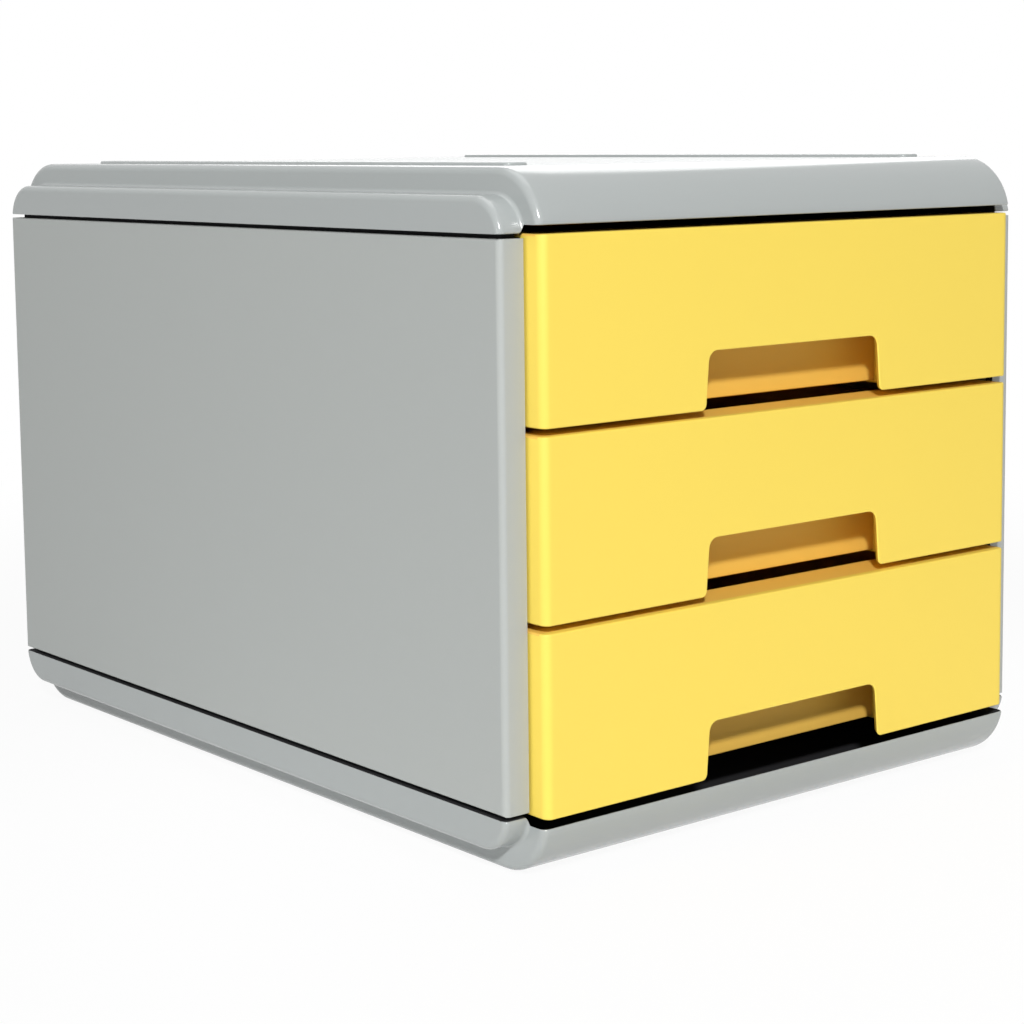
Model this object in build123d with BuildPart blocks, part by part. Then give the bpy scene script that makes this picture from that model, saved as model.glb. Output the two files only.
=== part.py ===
from build123d import *
from math import sqrt
import os

os.makedirs("parts", exist_ok=True)

# A desktop chest of three drawers, moulded in plastic. Millimetres, +Z up, drawer fronts towards -Y.
# The origin lies under the middle of the chest, on the surface that its feet stand on.

# Casing, outer sizes
casing_width = 180.0
casing_depth = 248.8
casing_height = 166.1
side_depth = 7.0
front_overhang = 5.6
rear_overhang = 4.2

# Lid and base: two mirrored caps with a long step along each side
cap_height = 13.1
cap_end_radius = 16.0
cap_edge_radius = 1.8
cap_step = 6.45
strip_height = 8.65
strip_end_radius = 10.0
strip_edge_radius = 1.6
seam_gap = 1.1
seam_edge_chamfer = 0.35

# Joint between caps and side panels: a set-back tongue in a channel, held by snap lugs
groove_depth = 3.0
tongue_wall = 2.2
lug_length = 14.0
lug_reach = 1.0
lug_height = 2.0
lug_rise = 1.6
lug_place_shares = (-0.7, 0.0, 0.7)

# Side panels
panel_skin = 2.4
panel_flange = 2.2
panel_edge_radius = 1.6

# Runner racks, pressed on pins inside the side panels
rack_setback = 0.2
rack_plate = 2.4
ledge_thickness = 2.2
pin_radius = 2.0
pin_fit = 0.05
pin_inset_y = 22.0
pin_inset_z = 16.45
boss_radius = 4.0
stop_post_length = 3.0
stop_post_height = 6.0

# Back panel, held in slotted saddles inside both caps
back_thickness = 2.2
back_setback = 1.2
back_insert = 5.0
saddle_width = 3.0
saddle_lip = 2.0
saddle_setback = 1.0
saddle_place_shares = (0.25, 0.85)

# Stacking rails on the lid, grooves for them and feet under the base
rail_inset = 13.5
rail_front_inset = 23.4
rail_rear_inset = 29.0
rail_width = 7.0
rail_height = 1.2
rail_corner_radius = 2.0
rail_edge_chamfer = 0.5
stack_clearance = 0.4
foot_radius = 7.0
foot_stand = 0.8
foot_recess = 0.8
foot_edge_chamfer = 0.3
foot_inset_x = 33.0
foot_inset_y = 27.4

# Drawer fronts: hollow covers with a finger notch in the lower edge
end_gap = 2.1
drawer_gap = 1.4
front_side_gap = 0.3
front_wall = 2.2
front_corner_radius = 2.2
front_edge_radius = 0.7
notch_edge_chamfer = 0.5
recess_depth = 13.0
notch_width = 62.0
notch_flare = 1.2
notch_height = 14.4
notch_corner_radius = 2.8
notch_mouth_radius = 1.6
recess_width = 86.0
recess_rib = 1.8
catch_depth = 1.6
catch_reach = 1.0
catch_length = 20.0
catch_rise = 8.0
top_catch_spacing = 90.0

# Drawer trays: tubs with a side rim that runs between two ledges
tray_inset = 4.4
tray_wall = 2.0
tray_drop = 6.0
tray_corner_radius = 5.0
tray_floor_radius = 3.5
rim_thickness = 2.0
rim_setback = 0.6
runner_clearance = 0.3
ledge_clearance = 1.0
tray_rear_gap = 1.4
stop_block_length = 5.0
stop_block_height = 4.0
stop_block_reach = 3.0
drawer_travel = 165.0

# General fits
fit_clearance = 0.2
seat_clearance = 0.1
overrun = 5.0
drawer_names = ("lower", "middle", "upper")


def end_sag(radius, height):
    """How far a rounded end has drawn in at its foot, where it stops before it stands upright."""
    return radius - sqrt(radius**2 - (radius - height) ** 2)


# Places worked out from the sizes above
x_side = casing_width / 2
x_core = x_side - side_depth
y_cap = casing_depth / 2
y_panel_front = front_overhang - y_cap
y_panel_rear = y_cap - rear_overhang
y_panel_mid = (y_panel_front + y_panel_rear) / 2
y_cap_arch = y_cap + end_sag(cap_end_radius, cap_height)
strip_sag = end_sag(strip_end_radius, strip_height)
z_under = foot_stand
z_top = z_under + casing_height
z_mid = (z_under + z_top) / 2
z_band = z_top - cap_height
z_strip = z_top - cap_step
z_seam = z_strip - strip_height
z_panel = z_seam - seam_gap
mid_plane = Plane.XY.offset(z_mid)
rail_spacing = 2 * (x_core - rail_inset)
rail_length = 2 * y_cap - rail_front_inset - rail_rear_inset
y_rail_mid = (rail_front_inset - rail_rear_inset) / 2
foot_spacing_x = 2 * (x_core - foot_inset_x)
foot_spacing_y = 2 * (y_cap - foot_inset_y)
cap_wall = groove_depth - fit_clearance
x_tongue = x_side - groove_depth
y_tongue_front = y_panel_front + groove_depth
y_tongue_rear = y_panel_rear - groove_depth
x_skin = x_side - panel_skin
x_rack = x_core + rack_setback
y_rack_front = y_panel_front + panel_flange + fit_clearance
y_rack_rear = y_panel_rear - panel_flange - fit_clearance
z_rack = z_panel - panel_flange - fit_clearance
pin_spacing_y = y_rack_rear - y_rack_front - 2 * pin_inset_y
pin_spacing_z = 2 * (z_rack - z_mid - pin_inset_z)
y_back = y_panel_rear - back_setback
y_back_inner = y_back - back_thickness
z_back = z_band + back_insert

drawer_count = len(drawer_names)
opening_height = 2 * (z_band - z_mid)
front_height = (opening_height - 2 * end_gap - (drawer_count - 1) * drawer_gap) / drawer_count
drawer_pitch = front_height + drawer_gap
z_lowest_drawer = 2 * z_mid - z_band + end_gap
tray_height = front_height - tray_drop
x_front = x_core - front_side_gap
y_front = -y_cap
y_plate = y_front + recess_depth
y_front_rear = y_plate + tray_wall + seat_clearance + catch_depth
x_tray = x_core - tray_inset
y_tray_rear = y_back_inner - tray_rear_gap
rim_rise = tray_height - rim_thickness
x_ledge = x_tray + ledge_clearance
y_rim_front = y_front_rear + rim_setback
y_ledge_front = y_rim_front + rim_setback
y_ledge_rear = y_back_inner - fit_clearance
y_stop_block = y_ledge_front + stop_post_length + drawer_travel + runner_clearance


def arched_face(y_low, y_high, z_low, z_high, radius, plane=Plane.YZ):
    """Side view of a cap or tongue: straight below, quarter-round at both upper corners."""
    with BuildSketch(plane) as view:
        with Locations(((y_low + y_high) / 2, (z_low + z_high) / 2)):
            Rectangle(y_high - y_low, z_high - z_low)
        fillet(view.vertices().group_by(Axis.Y)[-1], radius)
    return view.sketch


def block(x_low, x_high, y_low, y_high, z_low, z_high, mode=Mode.ADD):
    """A square-edged rib, ledge or opening between three pairs of limits."""
    with BuildSketch(Plane.XY.offset(z_low)) as plan:
        with Locations(((x_low + x_high) / 2, (y_low + y_high) / 2)):
            Rectangle(x_high - x_low, y_high - y_low)
    extrude(plan.sketch, amount=z_high - z_low, mode=mode)


def outer_rim(edges):
    """The edges in the outermost plane towards +X, without the open lower one."""
    return [edge for group in edges.group_by(Axis.X)[-1].group_by(Axis.Z)[1:] for edge in group]


def lower_rim(faces):
    """The edges of the lowest face, without the one nearest the middle of the chest."""
    return [edge for group in faces.sort_by(Axis.Z)[0].edges().group_by(Axis.X)[1:] for edge in group]


def snap_wedge(x_face, reach, length, low, height):
    """Wedges along one side: square below, where they catch, and sloped above, where they lead in."""
    for share in lug_place_shares:
        y_start = y_panel_mid + share * (y_tongue_rear - y_tongue_front) / 2 - length / 2
        with BuildSketch(Plane.XZ.offset(-y_start)) as wedge:
            with BuildLine():
                Polyline((x_face, low), (x_face + reach, low), (x_face, low + height), close=True)
            make_face()
        extrude(wedge.sketch, amount=-length)


# Saddles in one half of a cap, slotted for the edge of the back panel
y_saddle = y_back_inner - fit_clearance - saddle_lip
with BuildPart() as saddles:
    for share in saddle_place_shares:
        saddle_view = arched_face(
            -y_cap,
            y_cap_arch - cap_wall / 2,
            z_band - overrun,
            z_top - cap_wall / 2,
            cap_end_radius - cap_wall / 2,
            Plane.YZ.offset(share * x_core - saddle_width / 2),
        )
        extrude(saddle_view, amount=saddle_width)
    block(0, x_core, -y_cap, y_saddle, z_band - overrun, z_top, Mode.SUBTRACT)
    block(0, x_core, y_saddle, y_cap, z_band - overrun, z_band + saddle_setback, Mode.SUBTRACT)
    block(0, x_core, y_back_inner - fit_clearance, y_back + fit_clearance, z_band, z_back, Mode.SUBTRACT)

# Cap: the moulding that lid and base share, drawn as the lid
with BuildPart() as cap:
    z_foot = z_top - cap_end_radius - overrun
    extrude(arched_face(-y_cap_arch, y_cap_arch, z_foot, z_top, cap_end_radius), amount=x_core)
    fillet(outer_rim(cap.edges()), cap_edge_radius)
    block(0, x_core, -y_cap_arch, y_cap_arch, z_foot, z_band, Mode.SUBTRACT)
    chamfer(lower_rim(cap.faces()), seam_edge_chamfer)
    inner_view = arched_face(
        cap_wall - y_cap_arch,
        y_cap_arch - cap_wall,
        z_band - overrun,
        z_top - cap_wall,
        cap_end_radius - cap_wall,
    )
    extrude(inner_view, amount=x_core - cap_wall, mode=Mode.SUBTRACT)

    # side strip: a channel for the panel's tongue
    strip_plane = Plane.YZ.offset(x_core)
    z_foot = z_strip - strip_end_radius - overrun
    y_strip_front = y_panel_front - strip_sag
    y_strip_rear = y_panel_rear + strip_sag
    strip_view = arched_face(y_strip_front, y_strip_rear, z_foot, z_strip, strip_end_radius, strip_plane)
    extrude(strip_view, amount=side_depth)
    fillet(outer_rim(cap.edges()), strip_edge_radius)
    block(0, x_side, y_strip_front, y_strip_rear, z_foot, z_seam, Mode.SUBTRACT)
    chamfer(lower_rim(cap.faces()), seam_edge_chamfer)
    channel_view = arched_face(
        y_panel_front + cap_wall,
        y_panel_rear - cap_wall,
        z_seam - overrun,
        z_strip - cap_wall,
        strip_end_radius - cap_wall,
        strip_plane,
    )
    extrude(channel_view, amount=side_depth - cap_wall, mode=Mode.SUBTRACT)

    add(saddles.part)
    mirror(about=Plane.YZ)

# Pockets in the channel walls, for the snap lugs of the tongues
with BuildPart() as lug_pockets:
    snap_wedge(
        x_tongue,
        lug_reach + 2 * fit_clearance,
        lug_length + 2 * fit_clearance,
        z_seam + lug_rise - fit_clearance,
        lug_height + 4 * fit_clearance,
    )
    mirror(about=Plane.YZ)

with BuildPart() as cap_with_pockets:
    add(cap.part)
    add(lug_pockets.part, mode=Mode.SUBTRACT)

# Lid with its two stacking rails
with BuildPart() as lid:
    add(cap_with_pockets.part)
    with BuildSketch(Plane((0, y_rail_mid, z_top))):
        with GridLocations(rail_spacing, 0, 2, 1):
            RectangleRounded(rail_width, rail_length, rail_corner_radius)
    extrude(amount=rail_height)
    chamfer(lid.faces().group_by(Axis.Z)[-1].edges(), rail_edge_chamfer)
lid.part.label = "lid"
export_step(lid.part, "parts/lid.step")

# Base with grooves for the rails of a chest below it, and recesses for the feet
with BuildPart() as base:
    mirror(cap_with_pockets.part, about=mid_plane)
    with BuildSketch(Plane((0, y_rail_mid, z_under))):
        with GridLocations(rail_spacing, 0, 2, 1):
            RectangleRounded(
                rail_width + 2 * stack_clearance,
                rail_length + 2 * stack_clearance,
                rail_corner_radius + stack_clearance,
            )
    extrude(amount=rail_height - foot_stand + stack_clearance, mode=Mode.SUBTRACT)
    with BuildSketch(Plane.XY.offset(z_under)):
        with GridLocations(foot_spacing_x, foot_spacing_y, 2, 2):
            Circle(foot_radius + fit_clearance)
    extrude(amount=foot_recess, mode=Mode.SUBTRACT)
base.part.label = "base"
export_step(base.part, "parts/base.step")

# Round non-slip feet
with BuildPart() as feet:
    with BuildSketch():
        with GridLocations(foot_spacing_x, foot_spacing_y, 2, 2):
            Circle(foot_radius)
    extrude(amount=foot_stand + foot_recess)
    chamfer(feet.faces().group_by(Axis.Z)[0].edges(), foot_edge_chamfer)
feet.part.label = "non_slip_feet"
export_step(feet.part, "parts/non_slip_feet.step")

# Side panel: a shallow tray, open inwards, with a tongue on its upper and lower edge
pin_plane = Plane(origin=(x_skin, y_panel_mid, z_mid), x_dir=(0, 1, 0), z_dir=(-1, 0, 0))
with BuildPart() as right_panel:
    block(x_core, x_side, y_panel_front, y_panel_rear, z_mid, z_panel)
    fillet(right_panel.edges().filter_by(Axis.Z).group_by(Axis.X)[-1], panel_edge_radius)
    seam_edges = right_panel.faces().sort_by(Axis.Z)[-1].edges().group_by(Axis.X)[1:]
    chamfer([edge for group in seam_edges for edge in group], seam_edge_chamfer)
    block(
        x_core - overrun,
        x_skin,
        y_panel_front + panel_flange,
        y_panel_rear - panel_flange,
        z_mid - overrun,
        z_panel - panel_flange,
        Mode.SUBTRACT,
    )
    tongue_view = arched_face(
        y_tongue_front,
        y_tongue_rear,
        z_panel - panel_flange / 2,
        z_strip - cap_wall,
        strip_end_radius - groove_depth,
        Plane.YZ.offset(x_core),
    )
    extrude(tongue_view, amount=x_tongue - x_core)
    block(
        x_core - overrun,
        x_tongue - tongue_wall,
        y_tongue_front + tongue_wall,
        y_tongue_rear - tongue_wall,
        z_panel,
        z_strip,
        Mode.SUBTRACT,
    )
    snap_wedge(x_tongue, lug_reach, lug_length, z_seam + lug_rise, lug_height)
    mirror(about=mid_plane)
    with BuildSketch(pin_plane):
        with GridLocations(pin_spacing_y, pin_spacing_z, 2, 2):
            Circle(pin_radius)
    extrude(amount=x_skin - x_rack - fit_clearance)
right_panel.part.label = "right_side_panel"
export_step(right_panel.part, "parts/right_side_panel.step")

with BuildPart() as left_panel:
    mirror(right_panel.part, about=Plane.YZ)
left_panel.part.label = "left_side_panel"
export_step(left_panel.part, "parts/left_side_panel.step")

# Runner rack: a plate on four bosses, with two ledges and a stop for each drawer
with BuildPart() as right_rack:
    block(x_rack, x_rack + rack_plate, y_rack_front, y_rack_rear, 2 * z_mid - z_rack, z_rack)
    for level in range(drawer_count):
        z_drawer = z_lowest_drawer + level * drawer_pitch
        z_carrier = z_drawer + rim_rise - runner_clearance
        z_holder = z_drawer + tray_height + runner_clearance
        for z_ledge in (z_carrier - ledge_thickness, z_holder):
            block(x_ledge, x_rack, y_ledge_front, y_ledge_rear, z_ledge, z_ledge + ledge_thickness)
        block(
            x_ledge,
            x_rack,
            y_ledge_front,
            y_ledge_front + stop_post_length,
            z_carrier - ledge_thickness - stop_post_height,
            z_carrier - ledge_thickness,
        )
    with BuildSketch(pin_plane):
        with GridLocations(pin_spacing_y, pin_spacing_z, 2, 2):
            Circle(boss_radius)
    extrude(amount=x_skin - x_rack - rack_plate)
    with BuildSketch(pin_plane):
        with GridLocations(pin_spacing_y, pin_spacing_z, 2, 2):
            Circle(pin_radius + pin_fit)
    extrude(amount=x_skin - x_rack, mode=Mode.SUBTRACT)
right_rack.part.label = "right_runner_rack"
export_step(right_rack.part, "parts/right_runner_rack.step")

with BuildPart() as left_rack:
    mirror(right_rack.part, about=Plane.YZ)
left_rack.part.label = "left_runner_rack"
export_step(left_rack.part, "parts/left_runner_rack.step")

# Back panel, standing in the saddles of the base; its edge inside the caps is narrower
x_back = x_core - fit_clearance
x_back_edge = x_back - cap_wall
with BuildPart() as back_panel:
    block(-x_back_edge, x_back_edge, y_back_inner, y_back, z_mid, z_back - seat_clearance)
    block(-x_back_edge, x_back_edge, y_back_inner, y_back, 2 * z_mid - z_back, z_mid)
    block(-x_back, x_back, y_back_inner, y_back, 2 * z_mid - z_band + fit_clearance, z_band - fit_clearance)
back_panel.part.label = "back_panel"
export_step(back_panel.part, "parts/back_panel.step")

# Three drawers: each a hollow front that snaps over the front plate of its tray
for level, drawer_name in enumerate(drawer_names):
    z_drawer = z_lowest_drawer + level * drawer_pitch
    z_plate_top = z_drawer + front_height - front_wall
    z_stop_top = z_drawer + rim_rise - 2 * runner_clearance - ledge_thickness

    with BuildPart() as front:
        block(-x_front, x_front, y_front, y_front_rear, z_drawer, z_drawer + front_height)
        fillet(front.edges().filter_by(Axis.Z).group_by(Axis.Y)[0], front_corner_radius)
        block(
            front_wall - x_front,
            x_front - front_wall,
            y_front + front_wall,
            y_front_rear + overrun,
            z_drawer - overrun,
            z_plate_top,
            Mode.SUBTRACT,
        )
        with BuildSketch(Plane.XZ.offset(-y_front)) as notch:
            with BuildLine():
                Polyline(
                    (-notch_width / 2, z_drawer - overrun),
                    (-notch_width / 2, z_drawer),
                    (notch_flare - notch_width / 2, z_drawer + notch_height),
                    (notch_width / 2 - notch_flare, z_drawer + notch_height),
                    (notch_width / 2, z_drawer),
                    (notch_width / 2, z_drawer - overrun),
                    close=True,
                )
            make_face()
            fillet(notch.vertices().group_by(Axis.Y)[-1], notch_corner_radius)
        extrude(amount=-2 * front_wall, mode=Mode.SUBTRACT)
        lower_edges = front.edges().filter_by(Axis.Y).group_by(Axis.Z)[0]
        fillet(lower_edges.sort_by(lambda edge: abs(edge.center().X))[:2], notch_mouth_radius)
        top_rim = front.faces().sort_by(Axis.Z)[-1].edges().group_by(Axis.Y)[:-1]
        fillet([edge for group in top_rim for edge in group], front_edge_radius)
        z_notch_limit = z_drawer + (notch_height + front_height / 2) / 2
        front_view = front.faces().sort_by(Axis.Y)[0]
        lower_rim_edges = front_view.edges().filter_by_position(Axis.Z, z_drawer - overrun, z_notch_limit)
        chamfer(lower_rim_edges, notch_edge_chamfer)

        # ribs that close the finger recess on both sides and stand against the tray's front plate
        for side in (-1, 1):
            x_rib = side * (recess_width + recess_rib) / 2
            block(
                x_rib - recess_rib / 2,
                x_rib + recess_rib / 2,
                y_front + front_wall / 2,
                y_plate,
                z_drawer + notch_edge_chamfer,
                z_drawer + front_height - front_wall / 2,
            )
            # catches behind the plate, on the side walls and under the top wall
            x_catch = side * (x_front - front_wall)
            block(
                min(x_catch, x_catch - side * catch_reach),
                max(x_catch, x_catch - side * catch_reach),
                y_front_rear - catch_depth,
                y_front_rear,
                z_drawer + catch_rise,
                z_drawer + catch_rise + catch_length,
            )
            x_catch = side * top_catch_spacing / 2
            block(
                x_catch - catch_length / 2,
                x_catch + catch_length / 2,
                y_front_rear - catch_depth,
                y_front_rear,
                z_plate_top - catch_reach,
                z_plate_top,
            )
    front.part.label = drawer_name + "_drawer_front"
    export_step(front.part, "parts/" + drawer_name + "_drawer_front.step")

    with BuildPart() as tray:
        block(-x_tray, x_tray, y_plate, y_tray_rear, z_drawer, z_drawer + tray_height)
        fillet(tray.edges().filter_by(Axis.Z).group_by(Axis.Y)[-1], tray_corner_radius)
        floor_edges = tray.faces().sort_by(Axis.Z)[0].edges().group_by(Axis.Y)[1:]
        fillet([edge for group in floor_edges for edge in group], tray_floor_radius)
        offset(amount=-tray_wall, openings=tray.faces().sort_by(Axis.Z)[-1])
        x_plate = x_front - front_wall - fit_clearance
        block(-x_plate, x_plate, y_plate, y_plate + tray_wall, z_drawer, z_plate_top)
        for side in (-1, 1):
            for x_low, x_high, y_low, y_high, z_low, z_high in (
                (
                    x_tray - tray_wall / 2,
                    x_front,
                    y_rim_front,
                    y_tray_rear - tray_corner_radius,
                    z_drawer + rim_rise,
                    z_drawer + tray_height,
                ),
                (
                    x_tray - tray_wall / 2,
                    x_tray + stop_block_reach,
                    y_stop_block,
                    y_stop_block + stop_block_length,
                    z_stop_top - stop_block_height,
                    z_stop_top,
                ),
            ):
                block(
                    min(side * x_low, side * x_high),
                    max(side * x_low, side * x_high),
                    y_low,
                    y_high,
                    z_low,
                    z_high,
                )
    tray.part.label = drawer_name + "_drawer_tray"
    export_step(tray.part, "parts/" + drawer_name + "_drawer_tray.step")
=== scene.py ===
import math

import bmesh
import bpy
import numpy as np
from bpy.props import FloatProperty, FloatVectorProperty, PointerProperty
from mathutils import Matrix, Vector


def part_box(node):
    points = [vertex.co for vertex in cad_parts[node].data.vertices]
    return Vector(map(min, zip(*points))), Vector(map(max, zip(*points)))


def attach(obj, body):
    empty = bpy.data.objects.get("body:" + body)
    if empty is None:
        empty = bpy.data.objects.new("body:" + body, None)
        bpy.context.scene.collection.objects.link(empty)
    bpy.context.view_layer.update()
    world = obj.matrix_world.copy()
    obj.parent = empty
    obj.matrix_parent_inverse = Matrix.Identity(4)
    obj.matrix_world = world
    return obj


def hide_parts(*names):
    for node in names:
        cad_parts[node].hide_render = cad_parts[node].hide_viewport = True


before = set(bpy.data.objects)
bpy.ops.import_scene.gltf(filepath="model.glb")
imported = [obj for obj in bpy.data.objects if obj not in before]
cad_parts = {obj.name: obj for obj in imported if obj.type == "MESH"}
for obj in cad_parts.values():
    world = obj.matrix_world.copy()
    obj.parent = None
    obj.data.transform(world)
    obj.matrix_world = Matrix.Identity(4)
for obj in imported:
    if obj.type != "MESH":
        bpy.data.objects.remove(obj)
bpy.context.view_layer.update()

bl_info = {
    "name": "Desk Chest of Drawers",
    "version": (1, 0, 0),
    "blender": (4, 5, 0),
    "location": "3D View > Sidebar > Chest",
    "description": "Builds a moulded desk chest with three sliding drawers around its packed solids",
    "category": "Object",
}

MM = 0.001
DRAWERS = ("lower", "middle", "upper")
CASING = "casing"

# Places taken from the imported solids
LID_LOW, LID_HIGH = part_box("lid")
BASE_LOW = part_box("base")[0]
PANEL_LOW, PANEL_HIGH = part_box("right_side_panel")
FEET_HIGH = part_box("non_slip_feet")[1]
FRONT_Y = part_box("lower_drawer_front")[0].y

# Mesh work: points closer than MERGE are joined, and edges bent by more than SHARP are shaded sharp.
# A SUPPORT ring keeps a flat face's shading clear of a rounding. A SLIT is the room between two close points.
MERGE = 2e-7
SHARP = math.radians(33.0)
SLIT = 0.05 * MM
SUPPORT = 0.25 * MM

# Points on the roundings
CORNER_STEPS = 6
BOX_STEPS = 4
FOOT_STEPS = 4
BEND_STEPS = 15
CAP_EDGE_STEPS = 9
ROOT_STEPS = 6
ROOT_START = 0.15
RAIL_STEPS = 5
PANEL_STEPS = 7
PANEL_POINTS = 8
PANEL_INSIDE_RINGS = 3
FRONT_ANGLES = np.radians((90.0, 84.0, 77.0, 69.0, 61.0, 52.0, 43.0, 32.0, 21.0, 10.0, 0.0))
TRAY_STEPS = 7
TRAY_INNER_STEPS = 6
TRAY_LIP_STEPS = 4
TRAY_CORNER_STEPS = 8
DISC_STEPS = 5
DISC_POINTS = 48

# Small sizes of the casing
STACK_CLEARANCE = 0.4 * MM
RIM_SLOPE = 5.0 * MM
SEAM_GAP = 1.1 * MM
TONGUE_EDGE = 0.3 * MM
FOOT_EDGE = 0.35 * MM
FOOT_HOLLOW = (0.62, 0.7)
FOOT_HOLLOW_RISE = 0.6

# Small sizes of the drawers
FRONT_SLIT = 0.4 * MM
FRONT_OUTLINE = 0.5 * MM
HOLLOW_CORNER = 0.6 * MM
RIB_EDGE = 0.3 * MM
TRAY_LIP = 0.6 * MM
TRAY_LIFT = 0.8 * MM
PLATE_GAP = 0.2 * MM
PLATE_EDGE = 0.4 * MM
RIM_SETBACK = 0.6 * MM
RIM_EDGE = 0.5 * MM

# Skins: how strongly the grain shows, its size and its depth
CAP_SKIN = (0.04, 0.9 * MM, 0.0001 * MM)
PANEL_SKIN = (0.22, 0.45 * MM, 0.02 * MM)
DRAWER_SKIN = (0.02, 0.9 * MM, 0.0001 * MM)
# PAINTED_SHADE_SKIN is the skin of the painted shade: the near-black colour in the seams and inside the
# casing
PAINTED_SHADE_SKIN = (0.2, 0.5 * MM, 0.01 * MM)
RUBBER_SKIN = (0.35, 0.5 * MM, 0.05 * MM)

# Refractive indices, higher for a stronger gloss
CASING_INDEX = 1.56
FRONT_INDEX = 1.5
DULL_INDEX = 1.3

# Noise in the plastic: a slow cloud, and a fine and a coarse grain, with their shares in tint and gloss
HALFWAY = 0.5
CLOUD = {"Scale": 22.0, "Detail": 3.0, "Roughness": 0.5}
GRAIN_DETAIL = 2.0
COARSE_SCALE = 0.22
FINE_SHARE, COARSE_SHARE = 0.65, 0.35
TINT_SPREAD = 0.1
CLOUD_TINT = 0.05
CLOUD_GLOSS = 0.03
GRAIN_GLOSS = 0.5

# Stage: side and place of each lamp, the floor's circles, and the distances between which its tint changes
LAMPS = {
    "key": (0.14, (-1.18, -1.52, 1.15)),
    "fill": (0.4, (-0.80, -0.16, 0.10)),
    "back": (1.2, (1.3, 1.4, 1.1)),
    "top": (1.2, (0.1, 0.2, 1.5)),
}
WHITE = (1.0, 1.0, 1.0)
FLOOR_RADII = (0.0, 0.5, 1.5, 6.0)
FLOOR_POINTS = 96
FLOOR_TINT = 0.50
SHADOW_FADE = (0.22, 0.55)
SHADOW_WHITE = 0.94
BRIGHT_TINT = 0.95
BRIGHT_PLACE = (0.0, -0.16, 0.0)
BRIGHT_FADE = (0.15, 0.35)
SENSOR_WIDTH = 36.0
CAMERA_CLIP = (0.01, 50.0)


def length(name, description, default):
    """A length property; the default is given in metres."""
    return FloatProperty(
        name=name, description=description, default=default, min=0.0, precision=5, unit="LENGTH"
    )


def colour(name, description, default):
    """A colour property, in linear light."""
    return FloatVectorProperty(
        name=name, description=description, default=default, size=3, min=0.0, max=1.0, subtype="COLOR"
    )


def share(name, description, default):
    """A plain number between nothing and all."""
    return FloatProperty(
        name=name, description=description, default=default, min=0.0, max=1.0, subtype="FACTOR"
    )


def angle(name, description, degrees):
    """An angle property; the default is given in degrees."""
    return FloatProperty(name=name, description=description, default=math.radians(degrees), subtype="ANGLE")


def power(name, description, default):
    """The power of a lamp, in watts."""
    return FloatProperty(name=name, description=description, default=default, min=0.0, unit="POWER")


class ChestCasingSizes(bpy.types.PropertyGroup):
    """Sizes of lid, base, side panels and feet"""

    width: length("Width", "Over both side panels", LID_HIGH.x - LID_LOW.x)
    depth: length("Depth", "Lid and base from front to rear", -2 * FRONT_Y)
    side_depth: length("Side depth", "How far a side panel stands out from the drawers", 7.0 * MM)
    front_overhang: length("Front overhang", "Lid and base in front of the side panels", 5.6 * MM)
    rear_overhang: length("Rear overhang", "Lid and base behind the side panels", 4.2 * MM)
    height: length("Height", "Lid without its rails and strips", 13.1 * MM)
    end_radius: length("End radius", "Rounding of the lid's front and rear ends", 16.0 * MM)
    edge_radius: length("Edge radius", "Rounding along the lid's side edges", 1.8 * MM)
    step: length("Step", "From the lid's top down to the side strip", 6.45 * MM)
    strip_height: length("Strip height", "Side strip above the seam", 8.65 * MM)
    strip_radius: length("Strip radius", "Rounding of the side strip's ends", 10.0 * MM)
    strip_edge: length("Strip edge", "Rounding along the strip's outer edge", 1.6 * MM)
    root_radius: length("Root radius", "Hollow rounding between strip and lid", 1.0 * MM)
    wall: length("Wall", "Thickness of the mouldings", 2.8 * MM)
    lip: length("Lip", "Rounding along the seams", 0.35 * MM)
    groove: length("Groove", "Depth of the seam in which the panel's tongue sits", 3.0 * MM)
    panel_edge: length("Panel edge", "Rounding of a side panel's upright edges", 1.6 * MM)
    panel_flange: length("Panel flange", "Wall round a side panel", 2.2 * MM)
    panel_skin: length("Panel skin", "Thickness of a side panel", 2.4 * MM)
    rail_width: length("Rail width", "Stacking rail across", 7.0 * MM)
    rail_height: length("Rail height", "Stacking rail above the lid", 1.2 * MM)
    rail_inset: length("Rail inset", "From the drawers' side to the rail's middle", 13.5 * MM)
    rail_front: length("Rail front inset", "From the lid's front to the rail", 23.4 * MM)
    rail_rear: length("Rail rear inset", "From the lid's rear to the rail", 29.0 * MM)
    rail_drop: length("Rail drop", "Visible rail below its full height", 0.4 * MM)
    rail_corner: length("Rail corner", "Rounding of a rail's corners", 2.0 * MM)
    rail_edge: length("Rail edge", "Rounding of a rail's upper edge", 0.6 * MM)
    foot_radius: length("Foot radius", "Round foot", 7.0 * MM)
    foot_stand: length("Foot stand", "Foot below the base", BASE_LOW.z)


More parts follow.
